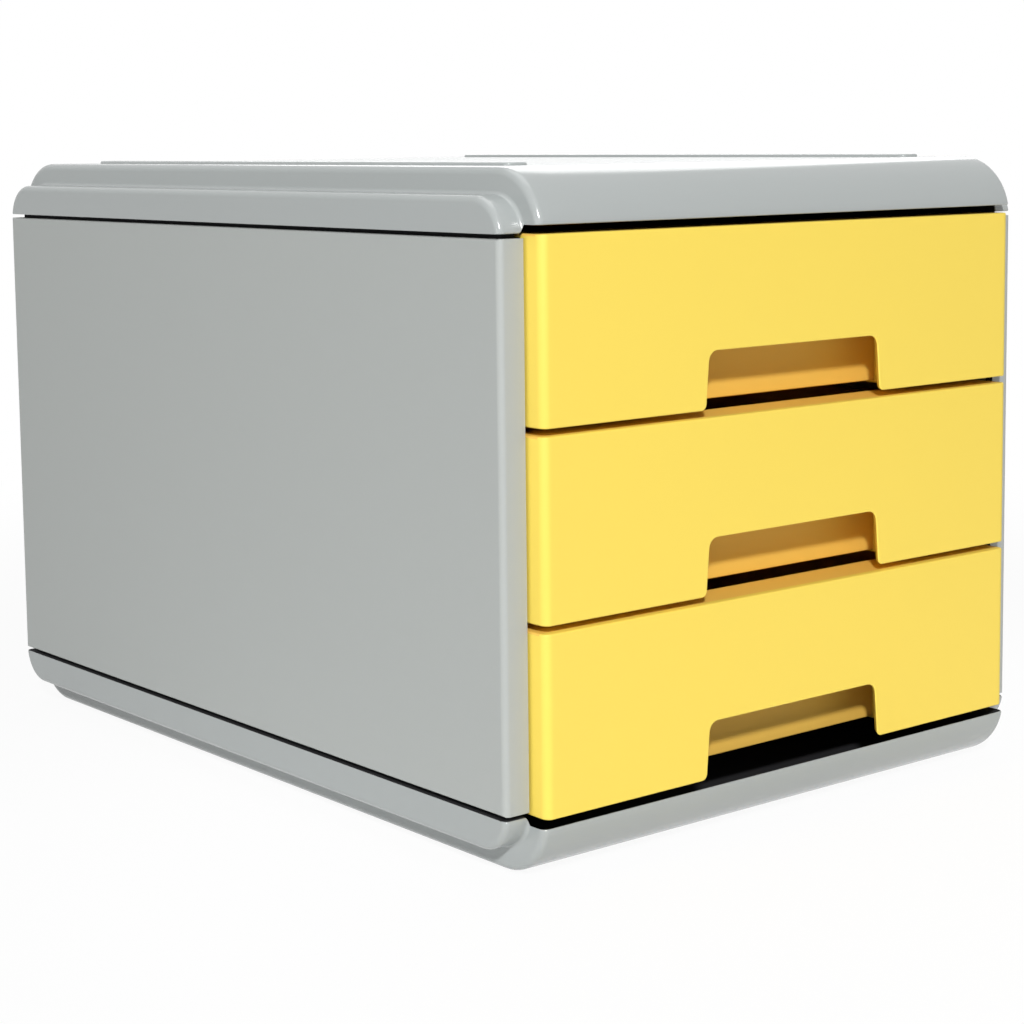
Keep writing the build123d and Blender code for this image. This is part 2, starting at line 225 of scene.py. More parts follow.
class ChestDrawerSizes(bpy.types.PropertyGroup):
    """Sizes of the drawer fronts and trays"""

    wall: length("Front wall", "Thickness of a drawer front", 2.2 * MM)
    corner: length("Corner", "Rounding of a front's upright edges", 2.2 * MM)
    edge: length("Edge", "Rounding of a front's other edges", 0.4 * MM)
    recess: length("Recess", "From the front to the tray's front plate", 13.0 * MM)
    notch_width: length("Notch width", "Finger notch at the lower edge", 62.0 * MM)
    notch_flare: length("Notch flare", "How far each side of the notch leans", 1.2 * MM)
    notch_height: length("Notch height", "Finger notch above the lower edge", 14.4 * MM)
    notch_back: length("Notch back", "How far the notch opens towards the hollow", 1.4 * MM)
    notch_edge: length("Notch edge", "Rounding of the notch's edge", 0.3 * MM)
    notch_corner: length("Notch corner", "Rounding of the notch's upper corners", 2.8 * MM)
    notch_mouth: length("Notch mouth", "Rounding where the notch meets the lower edge", 1.6 * MM)
    top_gap: length("Top gap", "How much lower a front's top is under another drawer", 0.45 * MM)
    step_back: length("Step back", "How far the step behind a front's top reaches from its rear", 4.0 * MM)
    step_down: length("Step down", "Depth of the step behind a front's top", 1.2 * MM)
    recess_width: length("Recess width", "Hollow behind the notch", 86.0 * MM)
    rib: length("Rib", "Wall beside the hollow", 1.8 * MM)
    tray_inset: length("Tray inset", "From the front's side to the tray", 4.1 * MM)
    tray_wall: length("Tray wall", "Thickness of the tray", 2.0 * MM)
    tray_drop: length("Tray drop", "From the front's top down to the tray's rim", 6.0 * MM)
    tray_corner: length("Tray corner", "Rounding of the tray's rear corners", 5.0 * MM)
    tray_floor: length("Tray floor", "Rounding round the tray's floor", 3.5 * MM)
    rim: length("Rim", "Thickness of the tray's side rims", 2.0 * MM)


class ChestFinishes(bpy.types.PropertyGroup):
    """Colours and gloss of the mouldings"""

    grey: colour("Casing grey", "Moulded colour of lid and base", (0.382, 0.407, 0.403))
    pale: colour("Panel grey", "Moulded colour of panels, racks and back", (0.412, 0.433, 0.420))
    yellow: colour("Drawer yellow", "Moulded colour of the drawer fronts", (0.93, 0.694, 0.106))
    # Painted shade: a deeper, shaded copy of the drawer yellow on the trays and the fronts' tops, for the
    # shade in the recesses and between the drawers
    painted_shade_yellow: colour("Tray yellow", "Deeper colour of the trays and of the fronts' tops", (0.90, 0.56, 0.105))
    rubber: colour("Foot rubber", "Colour of the feet", (0.045, 0.045, 0.048))
    # Painted shade: near-black colour on the tongues in the seams and on the inside of panels and casing,
    # where only shade falls
    inside: colour("Inside", "Dark colour in the seams and inside the casing", (0.022, 0.022, 0.024))
    cap_roughness: share("Lid roughness", "Roughness of lid and base", 0.17)
    panel_roughness: share("Panel roughness", "Roughness of the grained side panels", 0.52)
    front_roughness: share("Front roughness", "Roughness of the drawer fronts", 0.58)
    tray_roughness: share("Tray roughness", "Roughness of the drawer trays", 0.5)
    painted_shade_roughness: share("Inside roughness", "Roughness in the seams and inside the casing", 0.85)
    rubber_roughness: share("Rubber roughness", "Roughness of the feet", 0.82)


class ChestStage(bpy.types.PropertyGroup):
    """Camera and light"""

    eye: FloatVectorProperty(
        name="Eye", description="Place of the camera", default=(-0.40731, -0.51473, 0.17368), size=3,
        subtype="TRANSLATION", unit="LENGTH", precision=5,
    )
    turn: angle("Turn", "Camera's turn to the right", 38.994)
    tilt: angle("Tilt", "Camera's tilt downwards", 6.388)
    roll: angle("Roll", "Camera's lean", -0.650)
    lens: FloatProperty(name="Lens", description="Focal length in millimetres", default=79.36, min=10.0)
    rise: FloatProperty(name="Rise", description="Vertical shift of the picture", default=-0.12)
    sky: FloatProperty(name="Sky", description="Strength of the even light", default=0.07, min=0.0)
    key: power("Key", "Power of the lamp beside the camera", 42.5)
    fill: power("Fill", "Power of the low lamp at the left", 0.7)
    back: power("Back", "Power of the lamp behind", 10.0)
    top: power("Top", "Power of the lamp above", 7.0)


# Shapes: every sheet is a pair of points (n, 3) and a list of faces


def grid_faces(rows, columns, closed):
    """Quads between neighbouring points of a grid; closed joins the last column to the first."""
    row = np.arange(rows - 1)[:, None] * columns
    column = np.arange(columns if closed else columns - 1)[None, :]
    following = (column + 1) % columns
    corners = (row + column, row + following, row + columns + following, row + columns + column)
    return np.stack(corners, -1).reshape(-1, 4)


def ring_loft(rings):
    """Closed outlines (rings, points, 3) joined one after the other, the first and last filled by a face."""
    count, points = rings.shape[:2]
    first = np.arange(points)[::-1].tolist()
    last = (np.arange(points) + (count - 1) * points).tolist()
    return rings.reshape(-1, 3), grid_faces(count, points, True).tolist() + [first, last]


def shell(outer, inner):
    """Two grids of the same size, outside and inside of a moulding, joined all round along their borders."""
    rows, columns = outer.shape[:2]
    faces = grid_faces(rows, columns, False)
    index = np.arange(rows * columns).reshape(rows, columns)
    border = np.concatenate((index[0], index[1:, -1], index[-1, -2::-1], index[-2:0:-1, 0]))
    following = np.roll(border, -1)
    rim = np.stack((border, following, following + rows * columns, border + rows * columns), -1)
    points = np.concatenate((outer.reshape(-1, 3), inner.reshape(-1, 3)))
    return points, np.concatenate((faces, faces[:, ::-1] + rows * columns, rim[:, ::-1])).tolist()


def beyond(sheet, first):
    """For each face of a sheet: one if it has a point from the first given one on, else nothing."""
    return np.array([max(face) >= first for face in sheet[1]], np.int32)


def above(sheet, corner):
    """For each face of a sheet: one if all its points lie past the corner in x, y and z, else nothing."""
    points, faces = sheet
    past = (points > np.array(corner)).all(1)
    return np.array([past[face].all() for face in faces], np.int32)


def supported(insets):
    """The insets of a rounding with one more in front, a little further in than the first."""
    return np.concatenate(((insets[0] + SUPPORT,), insets))


def outline(corners, radii, insets, steps=CORNER_STEPS):
    """Rounded polygons (rings, points, 2): edges moved inwards by their insets, corners turned into arcs.

    An edge keeps its direction and moves along its inward normal. A corner is where two moved edges cross.
    Its arc starts at radius times the tangent of half the turn before the corner, and turns about the
    centre at that radius. An inset shortens the radius of an outer corner and lengthens that of an inner one.
    """
    corners = np.asarray(corners, float)
    insets = np.atleast_2d(insets)
    along = np.roll(corners, -1, 0) - corners
    along /= np.linalg.norm(along, axis=1, keepdims=True)
    inward = np.stack((-along[:, 1], along[:, 0]), -1)
    reach = (corners * inward).sum(1) + insets
    before = np.roll(np.arange(len(corners)), 1)
    turn = np.arctan2(
        along[before, 0] * along[:, 1] - along[before, 1] * along[:, 0], (along[before] * along).sum(1)
    )
    cross = inward[before, 0] * inward[:, 1] - inward[before, 1] * inward[:, 0]
    corner_x = (reach[:, before] * inward[:, 1] - reach * inward[before, 1]) / cross
    corner_y = (reach * inward[before, 0] - reach[:, before] * inward[:, 0]) / cross
    moved = np.stack((corner_x, corner_y), -1)
    sign = np.sign(turn)
    radius = np.maximum(np.asarray(radii) - sign * np.minimum(insets, insets[:, before]), 0.0)
    start = moved - along[before] * (radius * np.tan(np.abs(turn) / 2))[..., None]
    centre = start + inward[before] * (radius * sign)[..., None]
    swing = turn[:, None] * np.linspace(0.0, 1.0, steps)[None, :]
    arm = -(inward[before] * sign[:, None])
    spoke = np.stack(
        (
            arm[:, None, 0] * np.cos(swing) - arm[:, None, 1] * np.sin(swing),
            arm[:, None, 0] * np.sin(swing) + arm[:, None, 1] * np.cos(swing),
        ),
        -1,
    )
    points = centre[:, :, None, :] + spoke[None] * radius[:, :, None, None]
    return points.reshape(len(insets), -1, 2)


def quarter(radius, steps):
    """A quarter round: distance from the wall's end and inset, from the straight wall to the face."""
    turn = np.linspace(0.0, math.pi / 2, steps)
    return radius * np.sin(turn), radius * (1.0 - np.cos(turn))


def rectangle(x0, y0, x1, y1):
    """Corners of a rectangle, in turn to the left."""
    return (x0, y0), (x1, y0), (x1, y1), (x0, y1)


def circles(radii, points):
    """Circles (rings, points, 2) about the middle: each radius times the cosine and the sine of the turn."""
    turn = np.linspace(0.0, 2 * math.pi, points, endpoint=False)[None, :]
    radius = np.asarray(radii)[:, None]
    return np.stack((radius * np.cos(turn), radius * np.sin(turn)), -1)


def at_heights(plan, height):
    """Flat outlines (rings, points, 2) lifted to their heights, joined into a closed sheet."""
    return ring_loft(np.dstack((plan, np.repeat(height[:, None], plan.shape[1], 1))))


def soft_box(low, high, edge):
    """A box with rounded edges: rounded rectangles stacked upwards, a quarter round smaller at each end."""
    (x0, y0, z0), (x1, y1, z1) = low, high
    rise, inset = quarter(edge, BOX_STEPS)
    insets = np.repeat(np.concatenate((inset[::-1], inset))[:, None], 4, 1)
    height = np.concatenate((z0 + edge - rise[::-1], z1 - edge + rise))
    plan = outline(rectangle(x0, y0, x1, y1), (edge,) * 4, insets, BOX_STEPS)
    return at_heights(plan, height)


def mirrored(sheet, axis, middle=0.0):
    """The same sheet on the other side of a plane across the axis."""
    points = sheet[0].copy()
    points[:, axis] = 2 * middle - points[:, axis]
    return points, sheet[1]


def add_piece(name, sheets, body, nodes, materials, picks=None):
    """One mesh of closed sheets: doubles merged, faces outwards, curves shaded smooth, riding on its body.

    The picks give each sheet, or each face of a sheet, its place in the list of materials.
    """
    mesh = bpy.data.meshes.new(name)
    whole = bmesh.new()
    for (points, faces), pick in zip(sheets, picks or (0,) * len(sheets)):
        part = bpy.data.meshes.new(name)
        part.from_pydata(points.tolist(), [], faces)
        part.polygons.foreach_set("material_index", np.broadcast_to(np.int32(pick), len(faces)).copy())
        work = bmesh.new()
        work.from_mesh(part)
        bmesh.ops.remove_doubles(work, verts=work.verts, dist=MERGE)
        bmesh.ops.recalc_face_normals(work, faces=work.faces)
        work.to_mesh(part)
        work.free()
        whole.from_mesh(part)
        bpy.data.meshes.remove(part)
    whole.to_mesh(mesh)
    whole.free()
    mesh.polygons.foreach_set("use_smooth", np.ones(len(mesh.polygons), bool))
    mesh.set_sharp_from_angle(angle=SHARP)
    for material in materials:
        mesh.materials.append(material)
    piece = bpy.data.objects.new(name, mesh)
    bpy.context.scene.collection.objects.link(piece)
    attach(piece, body)
    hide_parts(*nodes)


def arches(rows, flat):
    """Open arches (rows, points, 3) across the chest, one for each row of a moulding.

    A row holds x, the y of the front and rear centres, the low end, the height of the centres, the radius and
    the lip. Its arch goes up the front with a small quarter round at the foot, turns about the front centre
    from the height where the foot ends up to the crown, passes the flat places and goes down the rear the
    same way.
    """
    x, front, rear, low, level, radius, lip = (column[:, None] for column in np.asarray(rows, float).T)
    foot = np.linspace(0.0, math.pi / 2, FOOT_STEPS)[None, :]
    start = np.arcsin(np.clip((low + lip - level) / radius, 0.0, 1.0))
    bend = start + (math.pi / 2 - start) * np.linspace(0.0, 1.0, BEND_STEPS)[None, :]
    out = np.concatenate((radius * np.cos(start) - lip * (1.0 - np.sin(foot)), radius * np.cos(bend)), 1)
    up = np.concatenate((low + lip * (1.0 - np.cos(foot)), level + radius * np.sin(bend)), 1)
    along = np.ones((len(x), 1)) * np.asarray(flat)[None, :]
    y = np.concatenate((front - out, along, (rear + out)[:, ::-1]), 1)
    z = np.concatenate((up, level + radius + 0.0 * along, up[:, ::-1]), 1)
    return np.stack((x + 0.0 * y, y, z), -1)


def end_reach(radius, height):
    """How far a rounded end stands out from its centre at its foot."""
    return math.sqrt(radius ** 2 - max(0.0, radius - height) ** 2)


def cap_moulding(size, groove):
    """Lid or base as a lid: rows of arches from the middle to the side, outside and inside, mirrored in x.

    Outside: flat roof, quarter round over the side edge, side wall, hollow quarter round into the strip,
    whose lower edge eases from the band down to the seam by half a cosine wave, strip, quarter round over its
    edge, and its side face brought down to the seam. Inside: roof, wall sloping down to the band, channel of
    the strip and its wall down to the seam. A groove is pressed into the roof from above.
    """
    x_side = size.width / 2
    x_core = x_side - size.side_depth
    top = LID_HIGH.z - size.rail_height
    front, rear = -size.depth / 2, size.depth / 2
    band = top - size.height
    strip_top = top - size.step
    seam = strip_top - size.strip_height
    end, strip_end = size.end_radius, size.strip_radius
    reach, strip_reach = end_reach(end, size.height), end_reach(strip_end, size.strip_height)
    centres = (front + reach, rear - reach)
    strip_centres = (front + size.front_overhang + strip_reach, rear - size.rear_overhang - strip_reach)

    def core(x, inset, low=band, lip=size.lip):
        """Row of the middle part, drawn in by the inset."""
        return (x, *centres, low, top - end, end - inset, lip)

    def strip(x, grow, low=seam, lip=size.lip):
        """Row of the side strip, let out by the growth."""
        return (x, *strip_centres, low, strip_top - strip_end, strip_end + grow, lip)

    groove_wide = size.rail_width / 2 + STACK_CLEARANCE
    rail_x = x_core - size.rail_inset
    groove_low, groove_high = rail_x - groove_wide, rail_x + groove_wide
    roof = (0.0, groove_low, groove_low + SLIT, groove_high - SLIT, groove_high)
    turn = np.linspace(0.0, math.pi / 2, CAP_EDGE_STEPS)
    hollow = np.linspace(ROOT_START, math.pi / 2, ROOT_STEPS)
    lows = seam + (band - seam) * 0.5 * (1.0 + np.cos(np.linspace(0.0, math.pi, len(hollow) + 1)))
    edge, root, rim = size.edge_radius, size.root_radius, size.strip_edge
    outer = [core(x, 0.0) for x in roof]
    outer += [core(x_core - edge * (1 - math.sin(a)), edge * (1 - math.cos(a))) for a in turn]
    outer += [core(x_core, edge + SUPPORT), strip(x_core, root + SUPPORT, band), strip(x_core, root, lows[0])]
    outer += [
        strip(x_core + root * (1 - math.cos(a)), root * (1 - math.sin(a)), low)
        for a, low in zip(hollow, lows[1:])
    ]
    outer += [strip(x_side - rim * (1 - math.sin(a)), -rim * (1 - math.cos(a))) for a in turn]
    outer += [strip(x_side, -rim - SUPPORT)] * 2

    wall = size.wall
    room = core(x_core - wall, wall, band + RIM_SLOPE, 0.0)
    inner = [(x * room[0] / x_core,) + room[1:] for x in roof]
    inner += [room] * (len(turn) + 2)
    inner += [strip(x_core, -wall, band, 0.0)]
    inner += [strip(x_core + SLIT, -wall, low, 0.0) for low in lows[1:]]
    inner += [strip(x_side - wall, -wall, seam, 0.0)] * (len(turn) + 2)

    rail_y = (front + size.rail_front - STACK_CLEARANCE, rear - size.rail_rear + STACK_CLEARANCE)
    flat = (rail_y[0] - SLIT, rail_y[0], rail_y[1], rail_y[1] + SLIT)
    outside, inside = arches(outer, flat), arches(inner, flat)
    outside[-1, :, 2] = seam
    falls = len(roof) + len(turn) + 1
    inside[falls, :, 2] = band + RIM_SLOPE
    inside[falls + 1, :, 2] = band
    inside[-1, :, 2] = seam
    level = FOOT_STEPS + BEND_STEPS
    outside[2:4, level + 1:level + 3, 2] -= groove
    inside[2:4, level + 1:level + 3, 2] -= groove
    half = np.array((-1.0, 1.0, 1.0))
    outside = np.concatenate((outside[:0:-1] * half, outside))
    inside = np.concatenate((inside[:0:-1] * half, inside))
    return shell(outside, inside)


def stacking_rail(size, side):
    """A rail: rounded rectangles stacked from inside the lid's roof, a quarter round at the upper edge."""
    x = side * (size.width / 2 - size.side_depth - size.rail_inset)
    y0, y1 = size.rail_front - size.depth / 2, size.depth / 2 - size.rail_rear
    half = size.rail_width / 2
    rise, inset = quarter(size.rail_edge, RAIL_STEPS)
    crown = LID_HIGH.z - size.rail_drop
    height = np.concatenate(((LID_HIGH.z - 2 * size.rail_height,), crown - size.rail_edge + rise, (crown,)))
    insets = np.concatenate(((0.0,), inset, (size.rail_edge + SUPPORT,)))
    insets = np.repeat(insets[:, None], 4, 1)
    return at_heights(outline(rectangle(x - half, y0, x + half, y1), (size.rail_corner,) * 4, insets), height)


def side_panel(size):
    """The right panel: upright rectangles from the inside of its skin round the flange and out to the face.

    The face's upright edges follow a quarter round, its upper and lower edges only the last part of one. A
    tongue stands above and below.
    """
    x0, x1 = PANEL_HIGH.x - size.side_depth, PANEL_HIGH.x
    seam = LID_HIGH.z - size.rail_height - size.step - size.strip_height
    z1 = seam - SEAM_GAP
    z0 = PANEL_LOW.z + PANEL_HIGH.z - z1
    y0, y1 = PANEL_LOW.y, PANEL_HIGH.y
    out, inset_y = quarter(size.panel_edge, PANEL_STEPS)
    inset_z = np.maximum(0.0, out - size.panel_edge + size.lip)
    flange = size.panel_flange
    rows = [(x1 - size.panel_skin, flange, flange), (x0, flange, flange), (x0, 0.0, 0.0)]
    rows += zip(x1 - size.panel_edge + out, inset_y, inset_z)
    rows.append((x1, size.panel_edge + SUPPORT, size.lip + SUPPORT))
    x, across, up = np.array(rows).T
    insets = np.stack((up, across, up, across), -1)
    face = outline(rectangle(y0, z0, y1, z1), (0.0,) * 4, insets, PANEL_POINTS // 4)
    panel = ring_loft(np.dstack((np.repeat(x[:, None], face.shape[1], 1), face)))
    deep = size.groove
    tongue = soft_box(
        (x0 + SLIT, y0 + deep, z1 - flange / 2),
        (x1 - deep, y1 - deep, PANEL_HIGH.z - SLIT),
        TONGUE_EDGE,
    )
    return [panel, tongue, mirrored(tongue, 2, (z0 + z1) / 2)]


def drawer_front(size, low, high):
    """A hollow front: its outline with the finger notch carried rearwards from the face, then opened.

    The upright edges follow a quarter round of the corner radius, the notch a small one and all other edges
    one of the edge radius. Behind its rounded edge, the notch opens inwards in proportion to the depth. At
    the inner side of the face, its corners move out to the corners of the hollow. Near the tray, the top
    steps down. Ribs stand beside the hollow, and floors close the front outside them.
    """
    x, z0, z1 = high.x - FRONT_SLIT, low.z, high.z
    notch, lean, crown = size.notch_width / 2, size.notch_flare, z0 + size.notch_height
    face = (
        (-x, z0), (-notch, z0), (lean - notch, crown), (notch - lean, crown), (notch, z0),
        (x, z0), (x, z1), (-x, z1),
    )
    inner_x, inner_z = x - size.wall, z1 - size.wall
    opened = (
        (-x, z0), (-inner_x, z0), (-inner_x, inner_z), (inner_x, inner_z), (inner_x, z0),
        (x, z0), (x, z1), (-x, z1),
    )
    stepped = opened[:6] + ((x, z1 - size.step_down), (-x, z1 - size.step_down))
    deep = size.corner * (1.0 - np.sin(FRONT_ANGLES))
    across = supported(size.corner * (1.0 - np.cos(FRONT_ANGLES)))

    def rounded(radius):
        """Insets of an edge that is rounded less than the corners."""
        near = np.clip(radius - deep, 0.0, None)
        return supported(radius - np.sqrt(radius ** 2 - near ** 2))

    around, crisp = rounded(size.edge), size.notch_edge
    depth = np.concatenate(((0.0,), deep))
    opening = size.notch_back * np.clip(depth - crisp, 0.0, None) / (size.wall - crisp)
    behind = rounded(crisp) + opening
    insets = np.stack((around,) + (behind,) * 3 + (around, across, around, across), -1)
    radii = (FRONT_OUTLINE, size.notch_mouth, size.notch_corner, size.notch_corner, size.notch_mouth)
    plate = outline(face, radii + (FRONT_OUTLINE,) * 3, insets)
    radii = (FRONT_OUTLINE, 0.0, HOLLOW_CORNER, HOLLOW_CORNER, 0.0) + (FRONT_OUTLINE,) * 3
    straight = np.zeros((2, len(face)))
    rings = np.concatenate((plate, outline(opened, radii, straight), outline(stepped, radii, straight)))
    step_y = high.y - size.step_back
    y = np.concatenate((low.y + depth, (low.y + size.wall, step_y, step_y + SLIT, high.y)))
    y = np.repeat(y[:, None], rings.shape[1], 1)
    cover = ring_loft(np.stack((rings[..., 0], y, rings[..., 1]), -1))
    rib_x = size.recess_width / 2
    rib = soft_box(
        (rib_x, low.y + size.wall / 2, z0 + size.edge),
        (rib_x + size.rib, low.y + size.recess, z1 - size.wall / 2),
        RIB_EDGE,
    )
    floor = soft_box(
        (rib_x + size.rib / 2, low.y + size.wall / 2, z0),
        (inner_x + size.wall / 2, high.y - SLIT, z0 + size.wall),
        RIB_EDGE,
    )
    return [cover, rib, mirrored(rib, 0), floor, mirrored(floor, 0)]


def drawer_tray(size, front_low, front_high, tray_low, tray_high):
    """A tub: rounded rectangles from the underside up the wall, over its lip and back down inside.

    Quarter rounds lead from the floor into the wall and over the lip. A plate stands across the front, and a
    rim runs along each side.
    """
    x = front_high.x - size.tray_inset
    y0, y1, z0 = tray_low.y, tray_high.y, tray_low.z + TRAY_LIFT
    z1 = front_high.z - size.tray_drop
    wall, bend = size.tray_wall, size.tray_floor
    rise, inset = quarter(bend, TRAY_STEPS)
    small_rise, small_inset = quarter(bend - wall, TRAY_INNER_STEPS)
    lip_rise, lip_inset = quarter(TRAY_LIP, TRAY_LIP_STEPS)
    height = np.concatenate((
        (z0,), z0 + bend - rise[::-1], z1 - TRAY_LIP + lip_rise, z1 - TRAY_LIP + lip_rise[::-1],
        z0 + bend - small_rise, (z0 + wall,),
    ))
    floor = (bend + SUPPORT,)
    inwards = np.concatenate((
        floor, inset[::-1], lip_inset, wall - lip_inset[::-1], wall + small_inset, floor,
    ))
    fronts = np.concatenate((
        np.zeros(1 + TRAY_STEPS + TRAY_LIP_STEPS), np.full(TRAY_LIP_STEPS, wall), wall + small_inset, floor,
    ))
    plan = outline(
        rectangle(-x, y0 + wall / 2, x, y1),
        (0.0, 0.0, size.tray_corner, size.tray_corner),
        np.stack((fronts, inwards, inwards, inwards), -1),
        TRAY_CORNER_STEPS,
    )
    tub = at_heights(plan, height)
    plate_x = front_high.x - size.wall - PLATE_GAP
    plate = soft_box((-plate_x, y0, z0), (plate_x, y0 + wall, front_high.z - size.wall), PLATE_EDGE)
    rim = soft_box(
        (x - wall / 2, front_high.y + RIM_SETBACK, z1 - size.rim),
        (tray_high.x, y1 - size.tray_corner, z1),
        RIM_EDGE,
    )
    return [tub, plate, rim, mirrored(rim, 0)]


def round_foot(size, x, y):
    """A foot: circles carried upwards, a quarter round at the lower edge and a shallow hollow underneath."""
    rise, inset = quarter(FOOT_EDGE, DISC_STEPS)
    ring = size.foot_radius
    radii = np.concatenate((ring * np.array(FOOT_HOLLOW), ring - inset[::-1], (ring,)))
    height = np.concatenate(((FOOT_EDGE * FOOT_HOLLOW_RISE, 0.0), FOOT_EDGE - rise[::-1], (FEET_HIGH.z,)))
    return at_heights(circles(radii, DISC_POINTS) + (x, y), height)


# Materials, on Object coordinates


class Wire:
    """A shader value: one output socket, with sums that add Math nodes and one way to add any other node."""

    def __init__(self, tree, socket=None):
        self.tree = tree
        self.socket = socket

    def node(self, kind, settings=None, inputs=None, output=0):
        """Adds a node: its settings first, then the values or links of its sockets; gives one output."""
        made = self.tree.nodes.new(kind)
        for key, value in (settings or {}).items():
            setattr(made, key, value)
        for key, value in (inputs or {}).items():
            if isinstance(value, Wire):
                self.tree.links.new(value.socket, made.inputs[key])
            else:
                made.inputs[key].default_value = value
        return Wire(self.tree, made.outputs[output] if made.outputs else None)

    def math(self, operation, *values):
        """Adds a Math node on the given values."""
        return self.node("ShaderNodeMath", {"operation": operation}, dict(enumerate(values)))

    def __add__(self, other):
        return self.math("ADD", self, other)

    def __sub__(self, other):
        return self.math("SUBTRACT", self, other)

    def __rsub__(self, other):
        return self.math("SUBTRACT", other, self)

    def __mul__(self, other):
        return self.math("MULTIPLY", self, other)

    __radd__ = __add__
    __rmul__ = __mul__


def opaque(shade):
    """A colour of three parts with its alpha."""
    return (*shade, 1.0)


def smooth_range(wire, value, reach, start, end):
    """Goes from start to end, eased at both, while the value passes through the reach."""
    inputs = {0: value, 1: reach[0], 2: reach[1], 3: start, 4: end}
    return wire.node("ShaderNodeMapRange", {"interpolation_type": "SMOOTHSTEP"}, inputs)


def new_material(name):
    """A material and the wire to build its nodes with, or nothing to build with if it is there already."""
    material = bpy.data.materials.get(name)
    if material:
        return material, None
    material = bpy.data.materials.new(name)
    material.use_nodes = True
    material.node_tree.nodes.clear()
    return material, Wire(material.node_tree)


def moulded_plastic(name, tint, roughness, skin, index=CASING_INDEX):
    """Moulded plastic: a colour with faint cloudy drift, uneven gloss and a fine grain pressed into the skin.

    The grain is noise at the grain size, mixed with a coarser one. It feeds the bump, and lightens the colour
    a little where it stands up. The gloss drifts slowly and follows the grain.
    """
    material, wire = new_material(name)
    if wire is None:
        return material
    strength, grain_size, depth = skin
    place = wire.node("ShaderNodeTexCoord", output="Object")
    grains = {"Vector": place, "Detail": GRAIN_DETAIL}
    cloud = wire.node("ShaderNodeTexNoise", None, {"Vector": place, **CLOUD})
    fine = wire.node("ShaderNodeTexNoise", None, {**grains, "Scale": 1.0 / grain_size})
    coarse = wire.node("ShaderNodeTexNoise", None, {**grains, "Scale": COARSE_SCALE / grain_size})
    relief = fine * FINE_SHARE + coarse * COARSE_SHARE
    cloudy, grainy = cloud - HALFWAY, relief - HALFWAY
    drift = cloudy * CLOUD_TINT + grainy * strength + HALFWAY
    darker = tuple((1.0 - TINT_SPREAD) * part for part in tint)
    lighter = tuple(min(1.0, (1.0 + TINT_SPREAD) * part) for part in tint)
    body = wire.node(
        "ShaderNodeMix", {"data_type": "RGBA"}, {0: drift, 6: opaque(darker), 7: opaque(lighter)}, output=2
    )
    gloss = cloudy * CLOUD_GLOSS + grainy * GRAIN_GLOSS * strength + roughness
    bump = wire.node("ShaderNodeBump", None, {"Strength": 1.0, "Distance": depth, "Height": relief})
    shader = wire.node(
        "ShaderNodeBsdfPrincipled",
        None,
        {"Base Color": body, "Roughness": gloss, "Normal": bump, "IOR": index},
    )
    wire.node("ShaderNodeOutputMaterial", None, {"Surface": shader})
    return material


def foot_rubber(finish):
    """Dull rubber with a coarse cast skin."""
    return moulded_plastic("foot_rubber", finish.rubber, finish.rubber_roughness, RUBBER_SKIN)


def painted_shade_plastic(finish):
    """Painted shade: near-black dull plastic on the tongues in the seams and on the inside of the panels and
    the casing, where only shade falls.
    """
    return moulded_plastic("casing_inside", finish.inside, finish.painted_shade_roughness, PAINTED_SHADE_SKIN, DULL_INDEX)


def casing_plastic(finish):
    """Smooth grey of lid and base."""
    return moulded_plastic("casing_smooth", finish.grey, finish.cap_roughness, CAP_SKIN)


def grained_plastic(finish):
    """Finely grained grey of the panels, racks and back."""
    return moulded_plastic("casing_grained", finish.pale, finish.panel_roughness, PANEL_SKIN)


def front_plastic(finish):
    """Half-gloss yellow of the drawer fronts."""
    return moulded_plastic("front_smooth", finish.yellow, finish.front_roughness, DRAWER_SKIN, FRONT_INDEX)


def painted_shade_tray_plastic(finish):
    """Half-gloss deeper yellow of the drawer trays and of the fronts' tops: painted shade, a shaded copy of
    the front yellow for the shade in the recesses and between the drawers.
    """
    return moulded_plastic("tray_smooth", finish.painted_shade_yellow, finish.tray_roughness, DRAWER_SKIN, DULL_INDEX)


# Stage: floor, light and camera


def seen_rays(wire):
    """One for rays that show a surface to the camera, straight, mirrored or passed through, else nothing.

    It is the largest of the three ray tests.
    """
    straight = wire.node("ShaderNodeLightPath", output="Is Camera Ray")
    mirror = wire.node("ShaderNodeLightPath", output="Is Glossy Ray")
    through = wire.node("ShaderNodeLightPath", output="Is Transmission Ray")
    return wire.math("MAXIMUM", wire.math("MAXIMUM", straight, mirror), through)


